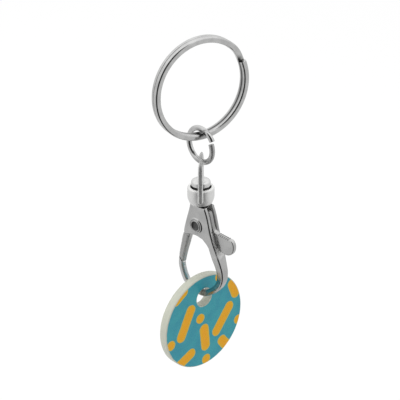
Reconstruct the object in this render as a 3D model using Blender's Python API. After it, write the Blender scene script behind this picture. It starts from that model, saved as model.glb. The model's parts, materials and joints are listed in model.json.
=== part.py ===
# Keyring with a trolley coin: split ring, jump ring, swivel eye, trigger hook and plastic coin.
# The pieces hang in one another along the Z axis, and the origin is the inside of the split
# ring at its top. The hook's flat sides face -Y and +Y, and its gate is at -X.

import math

import bpy
import numpy as np

# Play between pieces
HANG_PLAY = 0.0003
COIN_PLAY = 0.00045
SEAT_PLAY = 0.00015
OVERRUN = 0.002

# Split ring: flat wire, two turns, and the step where it passes from one to the other
RING_BORE = 0.0212
RING_WIRE_WIDTH = 0.0014
RING_WIRE_THICKNESS = 0.0009
RING_TURN_GAP = 0.00035
RING_YAW = math.radians(-16)
RING_STEP_START = math.radians(47)
RING_STEP_SPAN = math.radians(25)

# Jump ring: round wire, open on one side, its ends bent a little out of line
JUMP_OUTER = 0.00915
JUMP_WIRE = 0.00125
JUMP_OPENING = 0.0004
JUMP_YAW = math.radians(-97)
JUMP_OPENING_ANGLE = math.radians(25.5)
JUMP_END_SHIFT = 0.00022
JUMP_BENT_SPAN = math.radians(75)

# Swivel eye: bail, one edge of which steps in at its crown, cast onto a barrel collar
EYE_HEIGHT = 0.01205
BAIL_THICKNESS = 0.001
BAIL_WIDTH = 0.00112
BAIL_CROWN_WIDTH = 0.0007
BAIL_YAW = math.radians(-50)
COLLAR_HEIGHT = 0.004
COLLAR_WALL = 0.0007
COLLAR_FLOOR = 0.0012
COLLAR_FOOT_INSET = 0.0005

# Post of the hook, whose domed head turns in the collar
POST_DIAMETER = 0.0024
POST_HEAD = 0.0044
POST_HEAD_HEIGHT = 0.0044
POST_HEAD_EDGE = 0.0006
POST_DOME = 0.0009
POST_BARREL = 0.0036
POST_ROOT = 0.0005

# Hook: overall drop and width, cheeks, bar and pivot
HOOK_DROP = 0.0227
HOOK_WIDTH = 0.013
CHEEK_THICKNESS = 0.00088
BAR_DIAMETER = 0.00155
BAR_ROUNDNESS = 0.85
EDGE_ROUND = 0.0004
PIVOT_DROP = 0.005

# Rivet, and the raised boss round each of its heads
RIVET_SHANK = 0.0016
RIVET_HEAD = 0.0026
RIVET_HEAD_HEIGHT = 0.00036
RIVET_SINK = 0.0002
RIVET_DIMPLE = 0.0019
RIVET_DIMPLE_DEPTH = 0.00045
BOSS_WALL = 0.00047
BOSS_HEIGHT = 0.00028
BOSS_ROUND = 0.0001

# Lever: gate arm, hub and thumb tab in one
LEVER_THICKNESS = 0.0011
LEVER_ROUND = 0.0002
HUB_DIAMETER = 0.0042
ARM_DIAMETER = 0.0019
ARM_ROUNDNESS = 0.7
FLARE_START = 0.0049
FLARE_LENGTH = 0.0009
TEETH = 6
TOOTH_DEPTH = 0.00016

# Torsion spring, in a pocket of the lever's hub
SPRING_WIRE = 0.00024
SPRING_COIL = 0.0026
SPRING_RISE = 0.00045
SPRING_LEG = 0.0021
SPRING_START = math.radians(-53)
SPRING_TURN = math.radians(466)
POCKET_PLAY = 0.00018
POCKET_DEPTH = 0.0007

# Coin
COIN_DIAMETER = 0.02325
COIN_THICKNESS = 0.00233
COIN_ROUND = 0.0003
COIN_HOLE = 0.0045
COIN_HOLE_OFFSET = 0.0063
COIN_YAW = math.radians(-6)

# Outlines in the XZ plane. Each row starts with X from the swivel axis, as a share of
# HOOK_WIDTH, and the drop from the top of the hook, as a share of HOOK_DROP.
SPINE_SHARES = ((0.195, 0.0), (0.254, 0.085), (0.29, 0.16), (0.33, 0.254))
ARCH_SHARES = ((0.139, 0.353), (0.0, 0.338), (-0.131, 0.346), (-0.23, 0.358))
CORNER_SHARES = ((-0.262, 0.359), (-0.286, 0.349), (-0.295, 0.331))
LEFT_SHARES = ((-0.281, 0.288), (-0.239, 0.197), (-0.181, 0.085), (-0.142, 0.0))
SLOT_SHARES = (
    (0.923, -0.045),
    (0.13, -0.045),
    (0.1, 0.006),
    (0.07, 0.02),
    (0.035, 0.034),
    (0.0, 0.049),
    (-0.035, 0.085),
    (-0.088, 0.123),
    (-0.138, 0.151),
    (-0.177, 0.183),
    (-0.692, 0.183),
    (-0.692, 0.532),
    (0.096, 0.532),
    (0.088, 0.335),
    (0.104, 0.322),
    (0.158, 0.335),
    (0.315, 0.388),
    (0.4, 0.427),
    (0.454, 0.453),
    (0.923, 0.469),
)
LOBE_SHARES = (
    (0.092, 0.106),
    (0.142, 0.073),
    (0.177, 0.055),
    (0.208, 0.049),
    (0.231, 0.062),
    (0.254, 0.097),
    (0.277, 0.15),
    (0.298, 0.194),
    (0.331, 0.233),
    (0.405, 0.247),
)
TAB_SHARES = (
    (0.692, 0.263),
    (0.738, 0.272),
    (0.773, 0.299),
    (0.786, 0.339),
    (0.773, 0.384),
    (0.727, 0.422),
    (0.654, 0.444),
    (0.577, 0.446),
    (0.485, 0.433),
    (0.331, 0.375),
    (0.185, 0.322),
)
HEEL_SHARES = ((-0.092, 0.333),)

# Centre lines of the hook's band, from spine to nose, and of the gate arm, from hub to tip.
# The third number is how much wider than the bar, or narrower than the arm, it is there.
# The band's fourth is how far it has thickened from the bar (0) to the cheeks (1).
BAND_SHARES = (
    (0.308, 0.366, 0.48, 1),
    (0.343, 0.399, 0.33, 0.98),
    (0.375, 0.453, 0.38, 0.84),
    (0.413, 0.523, 0.4, 0.66),
    (0.461, 0.596, 0.34, 0.47),
    (0.5, 0.676, 0.26, 0.35),
    (0.491, 0.762, 0.18, 0.25),
    (0.415, 0.851, 0.08, 0.1),
    (0.265, 0.937, 0, 0),
    (0.112, 0.989, 0, 0),
    (-0.023, 1.0, 0, 0),
    (-0.177, 0.988, 0, 0),
    (-0.312, 0.933, 0, 0),
    (-0.385, 0.865, 0, 0),
    (-0.431, 0.786, 0, 0),
    (-0.437, 0.736, 0, 0),
    (-0.432, 0.703, 0, 0),
)
ARM_SHARES = (
    (-0.228, 0.328, 0.24),
    (-0.268, 0.363, 0.2),
    (-0.293, 0.391, 0.04),
    (-0.308, 0.419, 0),
    (-0.324, 0.448, 0.02),
    (-0.348, 0.504, 0.06),
    (-0.38, 0.571, 0.12),
    (-0.408, 0.637, 0.16),
    (-0.426, 0.685, 0.18),
)

# Heights that follow
ring_foot_z = -RING_BORE - RING_WIRE_WIDTH / 2
jump_radius = (JUMP_OUTER - JUMP_WIRE) / 2
jump_centre_z = -RING_BORE + HANG_PLAY + JUMP_WIRE / 2 - jump_radius
jump_foot_z = jump_centre_z - jump_radius
eye_top_z = jump_foot_z + JUMP_WIRE / 2 + HANG_PLAY + BAIL_THICKNESS
collar_foot_z = eye_top_z - EYE_HEIGHT
hook_top_z = collar_foot_z - HANG_PLAY
pivot_z = hook_top_z - PIVOT_DROP
bar_foot_z = hook_top_z - HOOK_DROP
coin_z = bar_foot_z + BAR_DIAMETER / 2 + COIN_PLAY - COIN_HOLE / 2 - COIN_HOLE_OFFSET

# Radii and half thicknesses that follow
ring_radius = RING_BORE / 2 + RING_WIRE_WIDTH / 2
bail_radius = POST_HEAD / 2 + HANG_PLAY + BAIL_THICKNESS / 2
collar_bore = POST_HEAD / 2 + SEAT_PLAY
collar_radius = collar_bore + COLLAR_WALL
slot_half = LEVER_THICKNESS / 2 + HANG_PLAY
body_half = slot_half + CHEEK_THICKNESS
pivot_hole = RIVET_SHANK / 2 + SEAT_PLAY
pocket_radius = SPRING_COIL / 2 + SPRING_WIRE / 2 + POCKET_PLAY

UP = np.array([0.0, 0.0, 1.0])
FRONT = math.radians(-90)
RING_STEPS = 72


def clear_scene():
    for old in list(bpy.data.objects):
        bpy.data.objects.remove(old)


def material(name, colour, metallic, roughness):
    made = bpy.data.materials.new(name)
    made.use_nodes = True
    shader = made.node_tree.nodes["Principled BSDF"]
    shader.inputs["Base Color"].default_value = (*colour, 1)
    shader.inputs["Metallic"].default_value = metallic
    shader.inputs["Roughness"].default_value = roughness
    return made


def add_piece(name, shape, finish, joint_z=0):
    """Object from points and faces in world space, with its origin on its joint."""
    points, faces = shape
    joint = joint_z * UP
    mesh = bpy.data.meshes.new(name)
    mesh.from_pydata((points - joint).tolist(), [], faces)
    mesh.materials.append(finish)
    mesh.shade_smooth()
    mesh.set_sharp_from_angle(angle=math.radians(35))
    piece = bpy.data.objects.new(name, mesh)
    piece.location = joint
    bpy.context.scene.collection.objects.link(piece)
    return piece


def join(piece, name, shape, operation):
    """Adds a closed body to a piece, or cuts it out, by a Boolean."""
    other = add_piece(name, shape, piece.data.materials[0])
    other.hide_render = True
    other.display_type = "WIRE"
    step = piece.modifiers.new(name, "BOOLEAN")
    step.object = other
    step.operation = operation
    step.solver = "EXACT"


def direction(angle):
    return np.array([math.cos(angle), math.sin(angle), 0.0])


def blend(low, high, x):
    """Smooth step from 0 at low to 1 at high."""
    t = np.clip((x - low) / (high - low), 0, 1)
    return t * t * (3 - 2 * t)


def smooth_curve(knots, pieces):
    """Catmull-Rom curve through the knots, cut into the same count of pieces between each two."""
    knots = np.asarray(knots, float)
    padded = np.vstack([2 * knots[0] - knots[1], knots, 2 * knots[-1] - knots[-2]])
    t = np.linspace(0, 1, pieces, endpoint=False)[:, None]
    stretches = []
    for a, b, c, d in zip(padded[:-3], padded[1:-2], padded[2:-1], padded[3:]):
        bend = (c - a) * t + (2 * a - 5 * b + 4 * c - d) * t**2 + (3 * b - a - 3 * c + d) * t**3
        stretches.append(b + bend / 2)
    return np.vstack([*stretches, knots[-1]])


def unit(vectors):
    return vectors / np.linalg.norm(vectors, axis=-1, keepdims=True)


def outline_points(shares):
    """XZ points of a table of shares, with its further columns left as they are."""
    points = np.array(shares, float)
    points[:, 0] *= HOOK_WIDTH
    points[:, 1] = hook_top_z - points[:, 1] * HOOK_DROP
    return points


def grid_faces(rows, columns, closed=False):
    """Quads between neighbouring rows of points, each row being a closed loop."""
    faces = []
    for i in range(rows if closed else rows - 1):
        for j in range(columns):
            k = (i + 1) % rows
            m = (j + 1) % columns
            faces.append((i * columns + j, i * columns + m, k * columns + m, k * columns + j))
    return faces


def facing_out(points, faces):
    """The body, turned inside out if its faces point inwards."""
    volume = 0
    for face in faces:
        corners = points[list(face)]
        for b, c in zip(corners[1:-1], corners[2:]):
            volume += np.dot(corners[0], np.cross(b, c))
    if volume < 0:
        faces = [tuple(reversed(face)) for face in faces]
    return points, faces


def loft(rings, caps=None):
    """Closed body through rings of points. The caps are faces of one ring, the whole by default."""
    rings = np.asarray(rings)
    count, sides = rings.shape[:2]
    faces = grid_faces(count, sides)
    last = (count - 1) * sides
    for cap in caps or [range(sides)]:
        faces.append(tuple(reversed(cap)))
        faces.append(tuple(last + k for k in cap))
    return facing_out(rings.reshape(-1, 3), faces)


def swept_tube(path, thickness, sides, across, width=None):
    """Capped tube along a path, round unless it is given its own width along `across`."""
    run = unit(np.gradient(path, axis=0))
    first = unit(np.cross(run, across))
    second = np.cross(run, first)
    turn = np.linspace(0, 2 * math.pi, sides, endpoint=False)[None, :, None]
    thickness = np.broadcast_to(thickness, len(path))[:, None, None]
    width = thickness if width is None else width[:, None, None]
    ring = np.cos(turn) * thickness * first[:, None] + np.sin(turn) * width * second[:, None]
    return loft(path[:, None] + ring / 2)


def laid(points, centre, yaw):
    """Points turned about Z, laid over so that their axis runs level at this yaw."""
    across = direction(yaw + math.pi / 2)
    return points[:, :1] * across + points[:, 1:2] * UP + points[:, 2:] * direction(yaw) + centre


def lathe_tube(profile, sides):
    """Body turned about Z from a closed profile of (radius, height) points."""
    profile = np.asarray(profile, float)
    spokes = np.array([direction(turn) for turn in np.linspace(0, 2 * math.pi, sides, endpoint=False)])
    points = profile[None, :, :1] * spokes[:, None] + profile[None, :, 1:] * UP
    return facing_out(points.reshape(-1, 3), grid_faces(sides, len(profile), closed=True))


def lathe_solid(profile, sides):
    """Body turned about Z from a profile whose two ends are closed by flat or pointed caps."""
    spokes = np.array([direction(turn) for turn in np.linspace(0, 2 * math.pi, sides, endpoint=False)])
    return loft([radius * spokes + height * UP for radius, height in profile])


def slab(outline, low_y, high_y):
    """Flat plate between two places in Y."""
    x, z = outline.T
    return loft([np.stack([x, x * 0 + y, z], axis=1) for y in (low_y, high_y)])


def section_levels(steps):
    """Offset inwards and way from the middle to the side, as shares, at each level of an edge."""
    turn = np.linspace(0, math.pi / 2, steps + 1)
    return 1 - np.cos(turn), 1 - np.sin(turn)


def plate_with_band(edge, half, fillet, centre, width, band_half, band_fillet, slant):
    """Body of even plate and a band that leaves it, with rounded edges.

    `edge` runs clockwise round the plate from the band's outer root to its inner root. The
    band's far end is cut at a slant: its left side reaches on by this share of its width.
    """
    run = unit(np.gradient(centre, axis=0))
    left = np.stack([-run[:, 1], run[:, 0]], axis=1)
    reach = blend(0.8, 1, np.linspace(0, 1, len(centre)))
    side = (left + run * (slant * reach)[:, None]) * width[:, None] / 2
    outer = centre + side
    inner = centre - side
    outline = np.vstack([edge, outer, inner[::-1]])
    tangent = unit(np.roll(outline, -1, axis=0) - np.roll(outline, 1, axis=0))
    inward = np.stack([tangent[:, 1], -tangent[:, 0]], axis=1)
    first = len(edge)
    last = first + len(outer)
    across = side / width[:, None] * 2
    inward[first:last] = -across
    inward[last:] = across[::-1]
    half = np.concatenate([np.full(first, half), band_half, band_half[::-1]])
    fillet = np.concatenate([np.full(first, fillet), band_fillet, band_fillet[::-1]])
    rings = []
    for sign in (-1, 1):
        levels = list(zip(*section_levels(3)))
        for offset, back in levels if sign > 0 else levels[::-1]:
            flat = outline + inward * (fillet * offset)[:, None]
            y = sign * (half - fillet * back)
            rings.append(np.stack([flat[:, 0], y, flat[:, 1]], axis=1))
    count = len(outline)
    caps = [(*range(first + 1), count - 1)]
    for k in range(len(outer) - 1):
        caps.append((first + k, first + k + 1, count - 2 - k, count - 1 - k))
    return loft(rings, caps)


def make_split_ring(finish):
    """Two turns of flat wire, its cut ends either side of the step between them."""
    turn = np.arange(2 * RING_STEPS + 1) * 2 * math.pi / RING_STEPS
    first_turn = 2 * math.pi - RING_STEP_SPAN
    turn = turn[turn < 2 * first_turn + RING_STEP_SPAN + RING_STEP_SPAN / RING_STEPS]
    pitch = RING_WIRE_THICKNESS + RING_TURN_GAP
    offset = pitch * (0.5 - blend(first_turn, 2 * math.pi, turn))
    normal = direction(RING_YAW)
    level = direction(RING_YAW + math.pi / 2)
    across = RING_WIRE_WIDTH / 2
    along = RING_WIRE_THICKNESS / 2
    shares = ((1, 0.35), (0.83, 0.8), (0.5, 1))
    shares += tuple((-a, b) for a, b in shares[::-1])
    shares += tuple((-a, -b) for a, b in shares)
    rings = []
    for angle, rise in zip(RING_STEP_START - RING_STEP_SPAN - turn, offset):
        radial = math.cos(angle) * level + math.sin(angle) * UP
        spot = ring_radius * radial + rise * normal - RING_BORE / 2 * UP
        rings.append([spot + a * across * radial + b * along * normal for a, b in shares])
    rings = np.array(rings)
    report_least_gap("split ring", rings)
    add_piece("split_ring", loft(rings), finish)


def report_least_gap(name, rings):
    """Prints how near two places of a wound wire come that are an eighth of it or more apart."""
    apart = len(rings) // 8
    least = math.inf
    for k in range(len(rings) - apart):
        gaps = rings[k][:, None, None] - rings[k + apart :][None]
        least = min(least, np.linalg.norm(gaps, axis=-1).min())
    print(f"{name}: least gap between turns {least * 1000:.2f} mm")


def make_jump_ring(finish):
    """Round wire bent to a ring whose flat ends leave a narrow opening."""
    level = direction(JUMP_YAW + math.pi / 2)
    skip = JUMP_OPENING / 2 / jump_radius
    turn = np.linspace(skip, 2 * math.pi - skip, 49)[:, None]
    angle = JUMP_OPENING_ANGLE + turn
    path = jump_radius * (np.cos(angle) * level + np.sin(angle) * UP) + jump_centre_z * UP
    bent = blend(2 * math.pi - JUMP_BENT_SPAN, 2 * math.pi, turn) - blend(JUMP_BENT_SPAN, 0, turn)
    path = path + bent * JUMP_END_SHIFT * direction(JUMP_YAW)
    tube = swept_tube(path, JUMP_WIRE, 12, direction(JUMP_YAW))
    add_piece("jump_ring", tube, finish, ring_foot_z)


def make_swivel_eye(finish):
    """Collar with a floor round the post, and the bail, whose legs run down it as ribs."""
    foot = collar_radius - COLLAR_FOOT_INSET
    shoulder = COLLAR_WALL * 0.8
    top = collar_foot_z + COLLAR_HEIGHT
    floor = collar_foot_z + COLLAR_FLOOR
    post_hole = POST_DIAMETER / 2 + HANG_PLAY
    profile = [(foot - shoulder / 4, collar_foot_z), (foot, collar_foot_z + shoulder / 4)]
    profile.append((collar_radius - COLLAR_FOOT_INSET / 5, collar_foot_z + COLLAR_HEIGHT * 0.27))
    profile.append((collar_radius, collar_foot_z + COLLAR_HEIGHT * 0.4))
    for offset, back in zip(*section_levels(4)):
        profile.append((collar_radius - shoulder * offset, top - shoulder * back * 1.5))
    profile += [(collar_bore, top), (collar_bore, floor), (post_hole, floor), (post_hole, collar_foot_z)]
    piece = add_piece("swivel_eye", lathe_tube(profile, 40), finish, jump_foot_z)
    arch_z = eye_top_z - BAIL_THICKNESS / 2 - bail_radius
    rib_foot_z = collar_foot_z + COLLAR_HEIGHT * 0.22
    turn = np.linspace(0, math.pi, 17)[:, None]
    arch = bail_radius * (np.cos(turn) * direction(BAIL_YAW) + np.sin(turn) * UP) + arch_z * UP
    leg = arch[0] - np.array([[arch_z - rib_foot_z - BAIL_WIDTH * rise] for rise in (0, 0.2, 0.6)]) * UP
    path = np.vstack([leg, arch, leg[::-1] * (-1, -1, 1)])
    ends = np.array([0.45, 0.85, 1])
    full = np.concatenate([ends, np.ones(len(arch)), ends[::-1]])
    crown = blend(arch_z + bail_radius / 2, arch_z + bail_radius, path[:, 2])
    narrower = (BAIL_WIDTH - BAIL_CROWN_WIDTH) * crown
    side = direction(BAIL_YAW + math.pi / 2)
    path = path + narrower[:, None] / 4 * side
    bail = swept_tube(path, full * BAIL_THICKNESS, 12, side, full * (BAIL_WIDTH - narrower))
    join(piece, "bail", bail, "UNION")


def make_hook_body(finish):
    """Cheeks, spine, round bar and nose, with the post and bosses, less the slot and pivot hole."""
    band = smooth_curve(outline_points(BAND_SHARES), 4)
    width = BAR_DIAMETER * (1 + band[:, 2])
    half = BAR_DIAMETER / 2 + (body_half - BAR_DIAMETER / 2) * band[:, 3]
    bar_round = BAR_ROUNDNESS * BAR_DIAMETER / 2
    fillet = EDGE_ROUND + (bar_round - EDGE_ROUND) * np.clip(1 - band[:, 3] * 4, 0, 1)
    knots = [outline_points(shares) for shares in (ARCH_SHARES, CORNER_SHARES, LEFT_SHARES, SPINE_SHARES)]
    arch, corner, left, spine = knots
    edge = np.vstack([smooth_curve(arch, 3), corner, smooth_curve(left, 2), smooth_curve(spine, 2)])
    body = plate_with_band(edge, body_half, EDGE_ROUND, band[:, :2], width, half, fillet, 1)
    piece = add_piece("hook_body", body, finish, hook_top_z)
    join(piece, "post", post_shape(), "UNION")
    boss_side = body_half + BOSS_HEIGHT
    boss_radius = RIVET_HEAD / 2 + SEAT_PLAY + BOSS_WALL
    profile = [(boss_radius - BOSS_ROUND, -boss_side), (boss_radius, BOSS_ROUND - boss_side)]
    profile += [(radius, -height) for radius, height in profile[::-1]]
    join(piece, "boss", on_pivot(profile, 32), "UNION")
    slot = slab(outline_points(SLOT_SHARES), -slot_half, slot_half)
    join(piece, "slot", slot, "DIFFERENCE")
    seat = body_half - RIVET_SINK
    wide = RIVET_HEAD / 2 + SEAT_PLAY
    profile = [(wide, -boss_side - OVERRUN), (wide, -seat), (pivot_hole, -seat)]
    profile += [(radius, -height) for radius, height in profile[::-1]]
    join(piece, "pivot_hole", on_pivot(profile, 24), "DIFFERENCE")


def post_shape():
    """Neck of the swivel post, its barrel in the collar and the domed head above."""
    neck = POST_DIAMETER / 2
    barrel = POST_BARREL / 2
    head = POST_HEAD / 2
    floor = collar_foot_z + COLLAR_FLOOR + HANG_PLAY
    dome = floor + POST_HEAD_HEIGHT - POST_DOME
    under = dome - POST_HEAD_EDGE
    profile = [(neck, hook_top_z - POST_ROOT), (neck, floor), (barrel, floor)]
    profile += [(barrel, under - head + barrel), (head, under), (head, dome)]
    for turn in np.linspace(0, math.pi / 2, 8)[1:-1]:
        profile.append((head * math.cos(turn) ** 0.8, dome + POST_DOME * math.sin(turn)))
    profile.append((head / 20, dome + POST_DOME))
    return lathe_solid(profile, 32)


def on_pivot(profile, sides):
    """Body turned about the pivot from (radius, way towards the front) points."""
    points, faces = lathe_solid(profile, sides)
    return laid(points, pivot_z * UP, FRONT), faces


def make_gate_lever(finish):
    """Gate arm, hub and serrated thumb tab, with a hole for the rivet and a pocket for the spring."""
    arm = smooth_curve(outline_points(ARM_SHARES), 4)
    width = ARM_DIAMETER * (1 - arm[:, 2])
    from_pivot = np.linalg.norm(arm[:, :2] - (0, pivot_z), axis=1)
    flare = blend(FLARE_START, FLARE_START + FLARE_LENGTH, from_pivot)
    half = LEVER_THICKNESS / 2 + (width - LEVER_THICKNESS) / 2 * flare
    fillet = LEVER_ROUND + (ARM_ROUNDNESS * width / 2 - LEVER_ROUND) * flare
    lobe = smooth_curve(outline_points(LOBE_SHARES), 2)
    tab = outline_points(TAB_SHARES)
    top = np.vstack([hub_arc(185, 80, 8), lobe, teeth(lobe[-1], tab[0])])
    edge = np.vstack([top, smooth_curve(tab, 2), hub_arc(-55, -101, 4), outline_points(HEEL_SHARES)])
    body = plate_with_band(edge, LEVER_THICKNESS / 2, LEVER_ROUND, arm[:, :2], width, half, fillet, 1)
    piece = add_piece("gate_lever", body, finish, pivot_z)
    hole = [(pivot_hole, -LEVER_THICKNESS), (pivot_hole, LEVER_THICKNESS)]
    join(piece, "rivet_hole", on_pivot(hole, 24), "DIFFERENCE")
    floor = LEVER_THICKNESS / 2 - POCKET_DEPTH
    pocket = [(pocket_radius, floor), (pocket_radius, LEVER_THICKNESS)]
    join(piece, "spring_pocket", on_pivot(pocket, 32), "DIFFERENCE")
    for name, channel in (("leg_groove", leg_groove()), ("leg_opening", leg_opening())):
        join(piece, name, slab(channel, -LEVER_THICKNESS, -floor), "DIFFERENCE")


def hub_arc(first, last, count):
    """Points in XZ on the rim of the hub, between two angles in degrees."""
    turn = np.radians(np.linspace(first, last, count))
    return HUB_DIAMETER / 2 * np.stack([np.cos(turn), np.sin(turn)], axis=1) + (0, pivot_z)


def teeth(start, end):
    """Points of the serration along the tab's top edge, between its two ends."""
    share = np.linspace(0, 1, 2 * TEETH + 3)[1:-1, None]
    along = start + (end - start) * share
    down = np.array([0, -TOOTH_DEPTH])
    return along + down * (np.arange(len(along)) % 2)[:, None]


def spring_leg(turn, forward):
    """Start and end in XZ of the straight leg that leaves the coil at this turn."""
    start = SPRING_COIL / 2 * np.array([math.cos(turn), math.sin(turn)]) + (0, pivot_z)
    run = np.array([-math.sin(turn), math.cos(turn)])
    return start, start + SPRING_LEG * (run if forward else -run)


def leg_groove():
    """Outline of the straight groove that holds the spring's lever leg."""
    start, end = spring_leg(SPRING_START, False)
    run = unit(end - start)
    side = np.array([-run[1], run[0]]) * (SPRING_WIRE / 2 + POCKET_PLAY)
    far = end + run * OVERRUN / 2
    return np.array([start - side, far - side, far + side, start + side])


def leg_opening():
    """Outline of the wedge of the hub left open for the spring's body leg as the lever turns."""
    centre = np.array([0, pivot_z])
    reach = HUB_DIAMETER
    turns = np.radians((68, 95, 124))
    corners = centre + reach * np.stack([np.cos(turns), np.sin(turns)], axis=1)
    return np.vstack([centre, corners])


def make_gate_spring(finish):
    """Wire coiled round the rivet, with a straight leg at each end."""
    turn = SPRING_START + np.linspace(0, SPRING_TURN, 41)
    coil = SPRING_COIL / 2 * np.stack([np.cos(turn), np.sin(turn)], axis=1) + (0, pivot_z)
    lever_leg = spring_leg(turn[0], False)[1]
    body_leg = spring_leg(turn[-1], True)[1]
    flat = np.vstack([lever_leg, coil, body_leg])
    wound = np.concatenate([[0], turn - SPRING_START, [SPRING_TURN]])
    rise = wound / 2 / math.pi * SPRING_RISE
    inner_y = POCKET_DEPTH - LEVER_THICKNESS / 2 - SPRING_WIRE / 2 - SEAT_PLAY
    path = np.stack([flat[:, 0], inner_y - rise, flat[:, 1]], axis=1)
    tube = swept_tube(path, SPRING_WIRE, 8, direction(FRONT))
    report_least_gap("gate spring", tube[0].reshape(len(path), 8, 3))
    add_piece("gate_spring", tube, finish, pivot_z)


def make_gate_rivet(finish):
    """Rivet with a dished head on each side."""
    seat = body_half - RIVET_SINK + SEAT_PLAY
    face = seat + RIVET_HEAD_HEIGHT
    head = RIVET_HEAD / 2
    profile = []
    for share in (0.1, 0.4, 0.7, 0.9, 1):
        profile.append((RIVET_DIMPLE / 2 * share, face - RIVET_DIMPLE_DEPTH * (1 - share**2)))
    profile += [(head - BOSS_ROUND, face), (head, face - BOSS_ROUND)]
    profile += [(head, seat), (RIVET_SHANK / 2, seat)]
    profile += [(radius, -height) for radius, height in profile[::-1]]
    add_piece("gate_rivet", on_pivot(profile, 32), finish, pivot_z)


def even_shading():
    """Lets the large flat faces keep one shade up to their rounded edges."""
    for piece in bpy.data.objects:
        if not piece.hide_render:
            step = piece.modifiers.new("even_shading", "WEIGHTED_NORMAL")
            step.keep_sharp = True


def make_coin(finish):
    """Disc with rounded rims and a round hole near its edge."""
    half = COIN_THICKNESS / 2
    rim = []
    for offset, back in zip(*section_levels(4)):
        rim.append((COIN_DIAMETER / 2 - COIN_ROUND * offset, half - COIN_ROUND * back))
    profile = [(radius, -height) for radius, height in rim[::-1]] + rim
    points, faces = lathe_solid(profile, 96)
    piece = add_piece("coin", (laid(points, coin_z * UP, COIN_YAW), faces), finish, bar_foot_z)
    points, faces = lathe_solid([(COIN_HOLE / 2, -COIN_THICKNESS), (COIN_HOLE / 2, COIN_THICKNESS)], 40)
    hole = laid(points, (coin_z + COIN_HOLE_OFFSET) * UP, COIN_YAW)
    join(piece, "coin_hole", (hole, faces), "DIFFERENCE")


clear_scene()
nickel = material("nickel", (0.62, 0.62, 0.61), 1, 0.25)
spring_steel = material("spring_steel", (0.45, 0.45, 0.46), 1, 0.35)
coin_plastic = material("coin_plastic", (0.07, 0.33, 0.4), 0, 0.35)
make_split_ring(nickel)
make_jump_ring(nickel)
make_swivel_eye(nickel)
make_hook_body(nickel)
make_gate_lever(nickel)
make_gate_rivet(nickel)
make_gate_spring(spring_steel)
make_coin(coin_plastic)
even_shading()
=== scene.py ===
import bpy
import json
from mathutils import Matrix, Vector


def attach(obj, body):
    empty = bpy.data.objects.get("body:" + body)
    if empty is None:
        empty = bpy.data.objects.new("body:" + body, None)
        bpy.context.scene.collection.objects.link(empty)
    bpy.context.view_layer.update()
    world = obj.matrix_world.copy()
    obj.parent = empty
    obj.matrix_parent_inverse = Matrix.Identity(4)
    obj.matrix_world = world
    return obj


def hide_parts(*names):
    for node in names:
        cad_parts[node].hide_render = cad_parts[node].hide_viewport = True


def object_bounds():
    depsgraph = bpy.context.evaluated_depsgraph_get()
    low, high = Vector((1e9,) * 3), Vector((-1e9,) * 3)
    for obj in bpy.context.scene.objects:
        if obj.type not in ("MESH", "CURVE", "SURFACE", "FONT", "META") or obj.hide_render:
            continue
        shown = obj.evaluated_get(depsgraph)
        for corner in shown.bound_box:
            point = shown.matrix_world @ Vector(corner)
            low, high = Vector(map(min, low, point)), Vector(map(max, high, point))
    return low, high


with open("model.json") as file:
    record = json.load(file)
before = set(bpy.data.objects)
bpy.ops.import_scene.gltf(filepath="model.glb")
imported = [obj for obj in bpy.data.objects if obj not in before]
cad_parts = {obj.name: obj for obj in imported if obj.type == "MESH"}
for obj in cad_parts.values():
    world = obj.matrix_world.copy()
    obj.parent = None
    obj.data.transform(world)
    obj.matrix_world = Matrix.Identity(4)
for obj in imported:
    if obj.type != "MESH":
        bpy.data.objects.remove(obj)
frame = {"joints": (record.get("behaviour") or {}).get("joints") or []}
cadBox = [list(corner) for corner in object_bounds()]

import json
import math

import bmesh
import bpy
import numpy as np
from mathutils import Matrix, Vector

# Looks of a keyring with a trolley coin. Lengths are in millimetres here, and become
# metres where a finished mesh is written.
metre = 0.001
up = np.array([0.0, 0.0, 1.0])
front = math.radians(-90)

# heights of the joints, from the frame
jointHeight = {joint["name"]: joint.get("pos_m", [0, 0, 0])[2] / metre for joint in frame["joints"]}
ringFoot = jointHeight["jump_ring_swing"]
jumpFoot = jointHeight["swivel_eye_swing"]
hookTop = jointHeight["hook_swivel"]
pivotHeight = jointHeight["gate_pivot"]
barFoot = jointHeight["coin_swing"]
play = {"hang": 0.3, "seat": 0.15, "coin": 0.45, "overrun": 2.0}


# shared shapes


def heading(angle):
    return np.array([math.cos(angle), math.sin(angle), 0.0])


def fullTurn(count):
    return np.linspace(0, 2 * math.pi, count, endpoint=False)


def unit(vectors):
    return vectors / np.linalg.norm(vectors, axis=-1, keepdims=True)


def smoothStep(low, high, x):
    # cubic 3t^2 - 2t^3 of the clamped share t of the way from low to high
    t = np.clip((x - low) / (high - low), 0, 1)
    return t * t * (3 - 2 * t)


def smoothCurve(knots, pieces):
    # Catmull-Rom curve: between knots b and c the point is b plus half of
    # (c-a)t + (2a-5b+4c-d)t^2 + (3b-a-3c+d)t^3, all stretches at once
    knots = np.asarray(knots, float)
    padded = np.vstack([2 * knots[0] - knots[1], knots, 2 * knots[-1] - knots[-2]])
    a, b, c, d = (padded[i:len(padded) - 3 + i, None] for i in range(4))
    t = np.linspace(0, 1, pieces, endpoint=False)[None, :, None]
    curve = b + ((c - a) * t + (2 * a - 5 * b + 4 * c - d) * t**2 + (3 * b - a - 3 * c + d) * t**3) / 2
    return np.vstack([curve.reshape(-1, knots.shape[1]), knots[-1]])


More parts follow.
